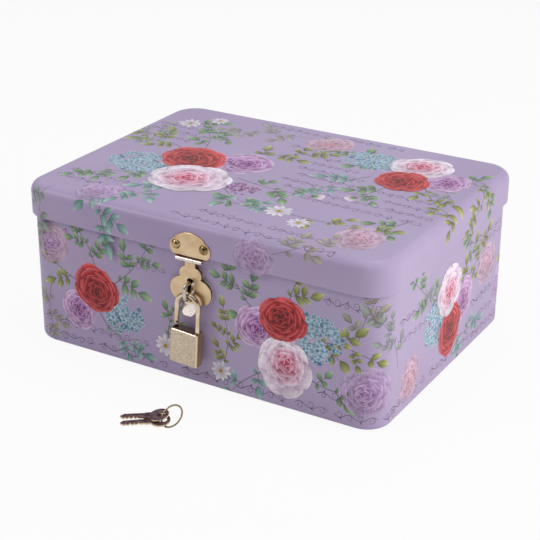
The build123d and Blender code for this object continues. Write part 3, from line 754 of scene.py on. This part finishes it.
lidScrolls = (      # left end and length
    (-14, 43, 28), (-4, 34, 24), (2, 25, 34), (6, 16, 36), (10, 7, 84), (6, -2, 88), (12, -11, 82),
    (22, -20, 70), (-96, 40, 32), (-96, 31, 34), (-94, 22, 30), (-46, 66, 40), (8, 67, 34),
    (-6, -60, 70), (-16, -69, 90), (-92, -46, 36), (-94, -55, 50),
)

# The wall's print, placed by its distance to the right of the front's middle and its height
wallPlan = {
    "front_bouquet_right": (
        (spray, (42, 42, 150, 30, -34, 7.5, "sage", 81), (62, 38, 24, 30, -46, 7.5, "olive", 82),
         (44, 20, 206, 28, 24, 7.5, "teal", 83, 2), (60, 22, -30, 24, 40, 7.5, "sage", 84, 2, "pink"),
         (52, 54, 84, 18, -30, 7, "olive", 89, 2)),
        (cluster, (67, 41, (14, 13), "blue", 85, 120)),
        (bloom, (35, 40, 12, "violet", 86, 0.9, 30), (50, 23, 16, "pink", 87, 0.9, 80),
         (49, 47, 13, "red", 88, 0.9, 200)),
    ),
    "front_bouquet_left": (
        (spray, (-50, 40, 34, 32, 26, 7.5, "sage", 91),
         (-66, 38, 166, 24, -30, 7.5, "olive", 92, 2, "pink"), (-56, 24, -60, 22, 50, 7.5, "teal", 93, 2),
         (-58, 48, 100, 18, 30, 7, "sage", 101, 2)),
        (cluster, (-42, 27, (12, 10), "blue", 94, 80)),
        (bloom, (-69, 23, 11, "violet", 96, 0.9, 300), (-58, 37, 14, "red", 95, 0.9, 140)),
        (spray, (-15, 16, 96, 26, -40, 6.5, "sage", 97), (14, 10, 62, 28, 40, 6.5, "olive", 98)),
        (daisy, (-17, 16, 6.0, 99), (15, 11, 5.5, 100)),
    ),
    "right_bouquet": (
        (spray, (160, 42, 156, 36, -20, 7.5, "sage", 111), (178, 38, 14, 32, 30, 7.5, "olive", 112),
         (172, 18, -26, 26, 30, 7.5, "teal", 113, 2), (186, 46, 66, 20, 20, 7, "sage", 114, 2, "violet")),
        (cluster, (153, 34, (13, 12), "blue", 115, 100)),
        (bloom, (185, 33, 12, "violet", 116, 0.9, 50), (170, 23, 14, "red", 117, 0.9, 240),
         (168, 45, 14, "pink", 118, 0.9, 20)),
    ),
    "left_bouquet": (
        (spray, (-150, 36, 30, 36, 20, 7.5, "sage", 121), (-168, 36, 166, 32, -20, 7.5, "olive", 122),
         (-158, 22, -60, 24, 40, 7.5, "teal", 126, 2)),
        (cluster, (-144, 32, (13, 11), "blue", 123, 90)),
        (bloom, (-181, 26, 12, "violet", 127, 0.9, 100), (-162, 36, 15, "pink", 124, 0.9, 50),
         (-168, 18, 11, "red", 125, 0.9, 240)),
    ),
    "back_bouquet": (
        (spray, (302, 36, 24, 40, -30, 7.5, "sage", 131), (276, 36, 164, 36, 20, 7.5, "olive", 132)),
        (cluster, (304, 34, (14, 11), "blue", 133, 90)),
        (bloom, (289, 26, 15, "red", 134, 0.9, 50), (271, 36, 15, "pink", 135, 0.9, 240)),
    ),
    "wall_faded_blooms": (
        (bloom, (93, 20, 14, (("violet", 0.55), ("violet", 0.35)), 141, 0.9, 40),
         (126, 16, 11, (("blush", 0.35), ("blush", 0.1)), 142, 0.9, 80),
         (-86, 56, 12, (("blush", 0.45), ("violet", 0.3)), 143, 0.9, 10),
         (214, 42, 12, (("blush", 0.5), ("blush", 0.3)), 144, 0.9, 10),
         (-122, 26, 13, (("violet", 0.55), ("violet", 0.4)), 149, 0.9, 10),
         (236, 24, 13, (("violet", 0.6), ("violet", 0.45)), 150, 0.9, 70),
         (-262, 40, 13, (("blush", 0.5), ("blush", 0.3)), 151, 0.9, 70)),
        (spray, (88, 44, 84, 26, -30, 7.5, ("olive", 0.5), 145),
         (112, 28, 100, 28, 30, 7.5, ("sage", 0.45), 146),
         (-86, 34, 252, 22, 30, 7.5, ("olive", 0.5), 147, 2),
         (138, 60, -70, 34, 20, 7.5, ("sage", 0.45), 148),
         (-226, 30, 40, 34, 30, 7.5, ("sage", 0.45), 152)),
    ),
}
wallScrolls = (
    (-92, 14, 62), (-94, 6, 76), (-8, 6, 56), (56, 6, 54), (68, 14, 20), (106, 8, 34), (110, 40, 30),
    (112, 50, 26), (148, 8, 46), (196, 16, 34), (196, 26, 30), (198, 7, 44), (196, 56, 36),
    (-160, 6, 50), (-206, 22, 22), (-214, 12, 40), (-128, 60, 50), (-206, 58, 40), (242, 10, 56),
    (306, 18, 30), (240, 50, 26), (-300, 14, 60), (-300, 24, 40), (-290, 56, 50),
)
smallScrolls = ((-34, 56, 18), (16, 58, 16), (70, 62, 30), (-98, 64, 20), (190, 60, 40))


def drawPlan(plan, wrap, body):
    for name, rows in plan.items():
        sheet = newSheet() if "faded" in name else newSheet(levels["bloom"], len(bloomRings))
        for motif, *places in rows:
            for x, y, *values in places:
                motif(sheet, (x, y), *values)
        printSheet(sheet, wrap, name, body)


def drawScrolls(sheet, rows, seed, turn, tones, size=1.0):
    for number, (x, y, length) in enumerate(rows):
        scroll(sheet, (x, y), length, seed + number, turn, tones[number % len(tones)], size)


def lineTone(worn):
    return blendTones(inks["line"], inks["ground"], worn)


drawPlan(lidPlan, wrapLid, "lid")
lidLines = newSheet()
drawScrolls(lidLines, lidScrolls, 70, -2.5, (lineTone(0.10),))
printSheet(lidLines, wrapLid, "lid_scrollwork", "lid")
drawPlan(wallPlan, wrapWall, "tin")
wallLines = newSheet()
drawScrolls(wallLines, wallScrolls, 170, 0.0, (lineTone(0.26), lineTone(0.04), lineTone(0.04)))
drawScrolls(wallLines, smallScrolls, 190, 0.0, (lineTone(0.26),), 0.9)
printSheet(wallLines, wrapWall, "wall_scrollwork", "tin")


# Tin sheet: lilac ground outside, bare tinplate inside, told apart by depth below the outer skin
shellLabels = ("Half Length", "Half Depth", "Corner", "Edge", "Level", "Way")


def makeShellGroup():
    # Depth of a point below a box with round corners and one rolled edge, in mm, negative inside.
    group, source, result = newGroup("shellDepth", {label: 1.0 for label in shellLabels}, ["Depth"])
    halfLength, halfDepth, corner, edge, level, way = (source.outputs[label] for label in shellLabels)
    scaled = addNode(group, "VectorMath", {0: objectPlace(group), "Scale": 1 / mm}, operation="SCALE")
    x, y, z = splitPlace(group, scaled.outputs[0])

    def work(operation, *values):
        return addMath(group, operation, *values)

    def past(spot, half):
        return work("SUBTRACT", work("ABSOLUTE", spot), work("SUBTRACT", half, corner))

    def roundedCorner(a, b, radius):
        outA, outB = work("MAXIMUM", a, 0.0), work("MAXIMUM", b, 0.0)
        far = work("SQRT", work("ADD", work("MULTIPLY", outA, outA), work("MULTIPLY", outB, outB)))
        inside = work("MINIMUM", work("MAXIMUM", a, b), 0.0)
        return work("SUBTRACT", work("ADD", far, inside), radius)

    plan = roundedCorner(past(x, halfLength), past(y, halfDepth), corner)
    rise = work("MULTIPLY", work("SUBTRACT", z, level), way)
    group.links.new(roundedCorner(work("ADD", plan, edge), rise, edge), result.inputs["Depth"])
    return group


shellGroup = makeShellGroup()

tinLook = {
    "ground": (182, 165, 202), "light": (196, 181, 214), "deep": (167, 147, 186), "rosy": (190, 162, 189),
    "even": 0.62,                  # how much plain ground lies over the clouds
    "ripple": (260.0,), "rippleBump": (0.03, 0.0003),
    "skin": (-0.30, -0.20),        # mm below the outer skin where the bare tinplate starts
    "bare": (186, 184, 182), "bareLight": (206, 205, 203), "bareMetal": 0.9,
}
tinNoise = {      # scale, detail and roughness, then the span that is used and what it becomes
    "cloud": ((9.0, 4.0, 0.55), (0.35, 0.65)),
    "stain": ((26.0, 5.0, 0.62), (0.56, 0.74, 0.0, 0.55)),
    "speck": ((420.0, 3.0, 0.7), (0.66, 0.72, 0.0, 0.22)),
    "bare": ((60.0, 4.0, 0.6), (0.3, 0.7)),
    "grain": ((900.0,), (0.3, 0.7, 0.36, 0.44)),
}


def makeTinMaterial(name, form, edge, level, way):
    material, tree, shader = newMaterial(name)
    place = objectPlace(tree)
    ground, light, deep, rosy, bare, bareLight = (
        linear(tinLook[key]) for key in ("ground", "light", "deep", "rosy", "bare", "bareLight"))
    part = {
        key: addRange(tree, addNoise(tree, place, *noise), *span) for key, (noise, span) in tinNoise.items()}
    colour = addMix(tree, tinLook["even"], addMix(tree, part["cloud"], deep, light), ground)
    colour = addMix(tree, part["speck"], addMix(tree, part["stain"], colour, rosy), deep)
    sizes = (form["halfLength"], form["halfDepth"], form["corner"], edge, level, way)
    depth = useGroup(tree, shellGroup, dict(zip(shellLabels, sizes)))["Depth"]
    inner = addRange(tree, depth, *tinLook["skin"], 1.0, 0.0)
    fill(tree, shader, {
        "Base Color": addMix(tree, inner, colour, addMix(tree, part["bare"], bare, bareLight)),
        "Metallic": addMath(tree, "MULTIPLY", inner, tinLook["bareMetal"]),
        "Roughness": part["grain"],
        "Normal": addBump(tree, addNoise(tree, place, *tinLook["ripple"]), *tinLook["rippleBump"]),
        **varnish})
    return material


# Wear group: fine grain and broader smudges, for every metal piece
def makeGrainGroup():
    group, source, result = newGroup(
        "metalGrain", {"Grain Scale": 2500.0, "Smudge Scale": 180.0}, ["Grain", "Smudge"])
    place = objectPlace(group)
    for label, detail in (("Grain", 3.0), ("Smudge", 4.0)):
        noise = addNoise(group, place, source.outputs[label + " Scale"], detail)
        group.links.new(noise, result.inputs[label])
    return group


grainGroup = makeGrainGroup()

# Metals, each with the CAD nodes that are made of it
metalLooks = {
    "haspPlate": {
        "tone": (231, 203, 166), "dark": (209, 180, 140), "rough": 0.30, "bump": 0.06, "paintedLightBands": True,
        "nodes": ("hasp_plate", "hasp_leaf", "hinge_lid_leaf_left", "hinge_lid_leaf_right",
                  "hinge_body_leaf_left", "hinge_body_leaf_right"),
    },
    "rivetBrass": {
        "tone": (206, 176, 128), "dark": (132, 104, 66), "rough": 0.15,
        "nodes": ("hasp_rivets", "hinge_lid_rivets", "hinge_body_rivets"),
    },
    "stapleNickel": {
        "tone": (222, 216, 204), "dark": (186, 178, 166), "rough": 0.12,
        "nodes": ("staple_plate", "staple_rivets", "staple_loop"),
    },
    "shacklePlate": {"tone": (236, 218, 194), "dark": (206, 182, 154), "rough": 0.09, "nodes": ("shackle",)},
    "plugBrass": {
        "tone": (206, 176, 112), "dark": (158, 126, 70), "rough": 0.32, "bump": 0.05,
        "nodes": ("lock_plug", "lock_wafers"),
    },
    "pinSteel": {
        "tone": (182, 180, 176), "dark": (140, 138, 134), "rough": 0.32, "bump": 0.05,
        "nodes": ("hasp_pin", "hinge_pin_left", "hinge_pin_right", "heel_pin", "plug_pin", "spring_cap",
                  "shackle_spring", "latch_bolt"),
    },
    "floorTin": {
        "tone": (200, 200, 200), "dark": (170, 170, 172), "rough": 0.30, "bump": 0.03,
        "nodes": ("floor_panel",),
    },
    "ringWire": {
        "tone": (196, 178, 148), "dark": (136, 114, 84), "rough": 0.22, "bump": 0.05,
        "nodes": ("key_ring",),
    },
}
metalWear = {"tone": (0.35, 0.70), "rough": (0.3, 0.7), "smoother": 0.04, "rougher": 0.06}
paintedLight = {       # heights in mm of the painted highlight bands on the hasp's knuckle and lip, and of the painted shadow in the crease above the knuckle
    "knuckle": 66.9, "knuckleReach": 0.85, "knuckleBlur": 0.2,
    "lip": 44.4, "lipBlur": 0.3,
    "crease": 68.1, "creaseReach": 0.25, "creaseBlur": 0.2,
    "tone": (234, 224, 216), "creaseShadowTone": (96, 76, 60), "rough": 0.24,
}


def makeMetal(name, look):
    material, tree, shader = newMaterial(name)
    grain = useGroup(tree, grainGroup, {})
    height, smudge = grain["Grain"], grain["Smudge"]
    colour = addMix(
        tree, addRange(tree, smudge, *metalWear["tone"]), linear(look["tone"]), linear(look["dark"]))
    rough = addRange(tree, smudge, *metalWear["rough"], look["rough"] - metalWear["smoother"],
                     look["rough"] + metalWear["rougher"])
    # painted highlight and shade: a near-white band on the knuckle and the lip stands in for the lamp's
    # glint, and a dark band stands in for the shadow in the crease
    if look.get("paintedLightBands"):
        level = splitPlace(tree, objectPlace(tree))[2]

        def band(label):
            away = addMath(tree, "ABSOLUTE", addMath(tree, "SUBTRACT", level, paintedLight[label] * mm))
            reach = paintedLight[label + "Reach"]
            return addRange(tree, away, reach * mm, (reach + paintedLight[label + "Blur"]) * mm, 1.0, 0.0)

        # painted highlight: the knuckle band and everything below the lip height turn near-white
        lip = addRange(tree, level, (paintedLight["lip"] - paintedLight["lipBlur"]) * mm, paintedLight["lip"] * mm, 1.0, 0.0)
        paintedHighlight = addMath(tree, "MAXIMUM", band("knuckle"), lip)
        colour = addMix(tree, paintedHighlight, colour, linear(paintedLight["tone"]))
        # painted shadow: a dark brown band in the crease above the knuckle, where the curl casts shade
        colour = addMix(tree, band("crease"), colour, linear(paintedLight["creaseShadowTone"]))
        smooth = addMath(tree, "MULTIPLY", paintedHighlight, look["rough"] - paintedLight["rough"])
        rough = addMath(tree, "SUBTRACT", rough, smooth)
        height = addMath(tree, "MULTIPLY", height, addMath(tree, "SUBTRACT", 1.0, paintedHighlight))
    fill(tree, shader, {"Base Color": colour, "Metallic": 1.0, "Roughness": rough})
    if "bump" in look:
        fill(tree, shader, {"Normal": addBump(tree, height, look["bump"])})
    return material


# Padlock case: sandy faces, satin sides and ends, and polished edges between them; the sides and ends carry
# darker tones, a painted shade for the dim tin wall they mirror
lockTilt = 3.5       # degrees that the padlock hangs askew
caseLook = {
    "face": (237, 223, 200), "faceDark": (197, 177, 152), "speck": (168, 148, 140),
    # side and end are painted shade: darker tones in place of the shaded tin mirrored in those faces
    "side": (206, 176, 128), "end": (156, 136, 118), "edge": (230, 212, 182),
    "size": (15.6, 6.0, 17.8), "skin": (0.06, 0.02),      # mm
    "grain": 5200.0, "specks": (0.56, 0.68, 0.0, 0.8), "sand": 2100.0, "sandSpan": (0.36, 0.64), "bump": 0.22,
    "roughness": (0.24, 0.48), "satin": 0.5,
}


def makeCaseMaterial():
    material, tree, shader = newMaterial("padlockCase")
    face, faceDark, speck, side, end, edge = (
        linear(caseLook[key]) for key in ("face", "faceDark", "speck", "side", "end", "edge"))
    middle = tuple((a + b) / 2 for a, b in zip(*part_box("padlock_case")))
    upright = addNode(tree, "Mapping", {
        "Vector": objectPlace(tree), "Location": middle, "Rotation": (0, math.radians(lockTilt), 0)},
        vector_type="TEXTURE").outputs[0]
    deep, shallow = caseLook["skin"]
    onSide, onFace, onEnd = (
        addRange(tree, addMath(tree, "ABSOLUTE", spot), (size / 2 - deep) * mm, (size / 2 - shallow) * mm)
        for spot, size in zip(splitPlace(tree, upright), caseLook["size"]))
    grain = useGroup(tree, grainGroup, {"Grain Scale": caseLook["grain"], "Smudge Scale": caseLook["sand"]})
    sandy = addMix(tree, addRange(tree, grain["Smudge"], *caseLook["sandSpan"]), faceDark, face)
    sandy = addMix(tree, addRange(tree, grain["Grain"], *caseLook["specks"]), sandy, speck)
    # painted shade: the sides and ends take their darker tones, while the edges keep the plain edge tone
    colour = addMix(tree, onSide, addMix(tree, onEnd, edge, end), side)
    satin = addMath(tree, "MULTIPLY", addMath(tree, "MAXIMUM", onSide, onEnd), caseLook["satin"])
    dull = addMath(tree, "MAXIMUM", onFace, satin)
    fill(tree, shader, {
        "Base Color": addMix(tree, onFace, colour, sandy), "Metallic": 1.0,
        "Roughness": addRange(tree, dull, 0.0, 1.0, *caseLook["roughness"]),
        "Normal": addBump(tree, addMath(tree, "MULTIPLY", grain["Smudge"], onFace), caseLook["bump"])})
    return material


# Keys: dull plated faces and worn warm edges
keyLook = {
    "face": (178, 152, 148), "faceDark": (120, 98, 104), "edge": (232, 212, 176),
    "flat": (0.80, 0.92),       # how squarely a face looks along the key's own thickness
    "smudge": 500.0, "worn": (0.38, 0.66), "bump": 0.12, "roughness": (0.24, 0.40),
}


def makeKeyMaterial():
    material, tree, shader = newMaterial("keyMetal")
    normal = addNode(tree, "TexCoord", {}).outputs["Normal"]
    flat = addRange(tree, addMath(tree, "ABSOLUTE", splitPlace(tree, normal)[2]), *keyLook["flat"])
    grain = useGroup(tree, grainGroup, {"Smudge Scale": keyLook["smudge"]})
    worn = addRange(tree, grain["Smudge"], *keyLook["worn"])
    dull = addMix(tree, worn, linear(keyLook["faceDark"]), linear(keyLook["face"]))
    fill(tree, shader, {
        "Base Color": addMix(tree, flat, linear(keyLook["edge"]), dull), "Metallic": 1.0,
        "Roughness": addRange(tree, flat, 0.0, 1.0, *keyLook["roughness"]),
        "Normal": addBump(tree, grain["Grain"], keyLook["bump"])})
    return material


def dress(nodeNames, material):
    for name in nodeNames:
        mesh = nodes[name].data
        mesh.materials.clear()
        mesh.materials.append(material)


lidEdge, foot = lidForm["edge"], wallForm["foot"]
dress(["lid_shell"], makeTinMaterial("lidTin", lidForm, lidEdge, lidForm["top"] - lidEdge, 1.0))
dress(["body_shell"], makeTinMaterial("bodyTin", wallForm, foot, foot, -1.0))
for name, look in metalLooks.items():
    dress(look["nodes"], makeMetal(name, look))
dress(["padlock_case"], makeCaseMaterial())
dress(["key_lower", "key_upper"], makeKeyMaterial())
print("materials set")

# The spring under the shackle's heel, which on the lock shortens as the case is pushed up over the shackle;
# here it is copied as a piece that rides with the case
springLook = {"merge": 0.000001, "smoothAngle": 40}


def makeSpring():
    bpy.ops.object.select_all(action="DESELECT")
    coil = nodes["shackle_spring"].copy()
    coil.data = coil.data.copy()
    coil.name = "heel_spring"
    bpy.context.collection.objects.link(coil)
    bpy.context.view_layer.objects.active = coil
    coil.select_set(True)
    bpy.ops.object.mode_set(mode="EDIT")
    bpy.ops.mesh.select_all(action="SELECT")
    bpy.ops.mesh.remove_doubles(threshold=springLook["merge"])
    bpy.ops.object.mode_set(mode="OBJECT")
    bpy.ops.object.shade_smooth_by_angle(angle=math.radians(springLook["smoothAngle"]))
    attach(coil, "lock_case")
    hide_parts("shackle_spring")
    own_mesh(coil)


makeSpring()
